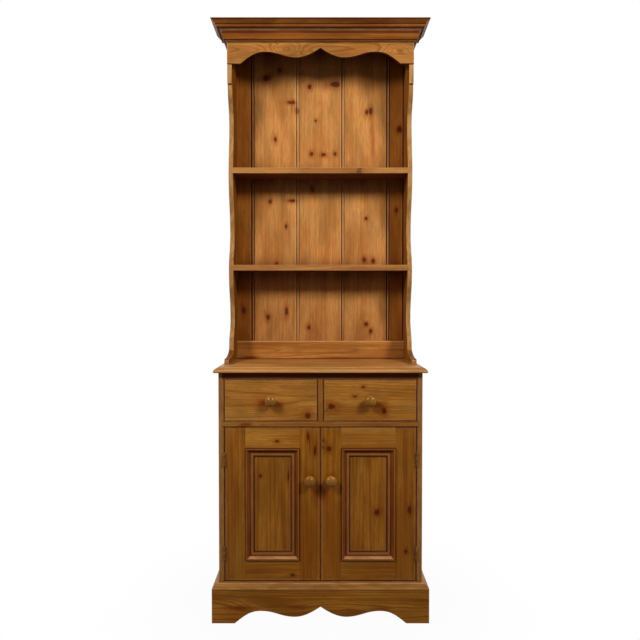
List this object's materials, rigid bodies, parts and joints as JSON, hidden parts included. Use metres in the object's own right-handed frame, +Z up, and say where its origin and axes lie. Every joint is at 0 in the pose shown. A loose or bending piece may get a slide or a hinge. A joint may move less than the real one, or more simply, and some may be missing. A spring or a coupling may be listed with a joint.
{
  "type": "welsh dresser",
  "caption": "Tall waxed pine dresser: panelled cupboard base with drawers, open shelved rack above with shaped sides, scalloped frieze and moulded cornice.",
  "frame": {"origin": "on the floor, at the middle of the bounding box (width, and depth from the knobs to the back)", "axes": "+Z up; the doors and drawers face -Y; the back of the dresser is the plane facing +Y; +X is the viewer's right"},
  "size_m": [0.757, 0.37, 2.025],
  "materials": {
    "waxed_pine": "satin wax over honey pine",
    "pale_waxed_pine": "satin wax over light honey pine",
    "dark_waxed_pine": "satin dark wax in the mouldings",
    "unfinished_pine": "bare planed pine",
    "plywood": "bare thin plywood",
    "aged_brass": "dull brown patina"
  },
  "bodies": {
    "case": {"base_side_left": "waxed_pine", "base_side_right": "waxed_pine", "cabinet_floor": "waxed_pine", "drawer_board": "waxed_pine", "drawer_upright": "waxed_pine", "top_rail": "waxed_pine", "base_back": "plywood", "worktop": "pale_waxed_pine", "plinth_front": "waxed_pine", "plinth_left": "waxed_pine", "plinth_right": "waxed_pine", "rack_side_left": "waxed_pine", "rack_side_right": "waxed_pine", "rack_shelf_lower": "pale_waxed_pine", "rack_shelf_upper": "pale_waxed_pine", "rack_top": "waxed_pine", "rack_foot_rail": "pale_waxed_pine", "rack_back_board_1": "pale_waxed_pine", "rack_back_board_2": "pale_waxed_pine", "rack_back_board_3": "pale_waxed_pine", "rack_back_board_4": "pale_waxed_pine", "rack_back_board_5": "pale_waxed_pine", "frieze": "pale_waxed_pine", "cornice_front": "dark_waxed_pine", "cornice_left": "dark_waxed_pine", "cornice_right": "dark_waxed_pine", "left_lower_hinge_case_leaf": "aged_brass", "left_upper_hinge_case_leaf": "aged_brass", "right_lower_hinge_case_leaf": "aged_brass", "right_upper_hinge_case_leaf": "aged_brass"},
    "left_door": {"left_door_hinge_stile": "waxed_pine", "left_door_lock_stile": "waxed_pine", "left_door_top_rail": "waxed_pine", "left_door_bottom_rail": "waxed_pine", "left_door_panel": "waxed_pine", "left_door_moulding": "dark_waxed_pine", "left_door_knob": "pale_waxed_pine", "left_lower_hinge_door_leaf": "aged_brass", "left_upper_hinge_door_leaf": "aged_brass"},
    "right_door": {"right_door_hinge_stile": "waxed_pine", "right_door_lock_stile": "waxed_pine", "right_door_top_rail": "waxed_pine", "right_door_bottom_rail": "waxed_pine", "right_door_panel": "waxed_pine", "right_door_moulding": "dark_waxed_pine", "right_door_knob": "pale_waxed_pine", "right_lower_hinge_door_leaf": "aged_brass", "right_upper_hinge_door_leaf": "aged_brass"},
    "left_drawer": {"left_drawer_front": "waxed_pine", "left_drawer_inner_side": "unfinished_pine", "left_drawer_outer_side": "unfinished_pine", "left_drawer_back": "unfinished_pine", "left_drawer_bottom": "plywood", "left_drawer_knob": "pale_waxed_pine"},
    "right_drawer": {"right_drawer_front": "waxed_pine", "right_drawer_inner_side": "unfinished_pine", "right_drawer_outer_side": "unfinished_pine", "right_drawer_back": "unfinished_pine", "right_drawer_bottom": "plywood", "right_drawer_knob": "pale_waxed_pine"}
  },
  "joints": [
    {"name": "left_door_hinge", "type": "hinge", "parent": "case", "child": "left_door", "pos_m": [-0.315, -0.155, 0.385], "axis": [0, 0, -1], "range_deg": [0, 170]},
    {"name": "right_door_hinge", "type": "hinge", "parent": "case", "child": "right_door", "pos_m": [0.315, -0.155, 0.385], "axis": [0, 0, 1], "range_deg": [0, 170]},
    {"name": "left_drawer_slide", "type": "slide", "parent": "case", "child": "left_drawer", "axis": [0, -1, 0], "range_m": [0, 0.22]},
    {"name": "right_drawer_slide", "type": "slide", "parent": "case", "child": "right_drawer", "axis": [0, -1, 0], "range_m": [0, 0.22]}
  ]
}
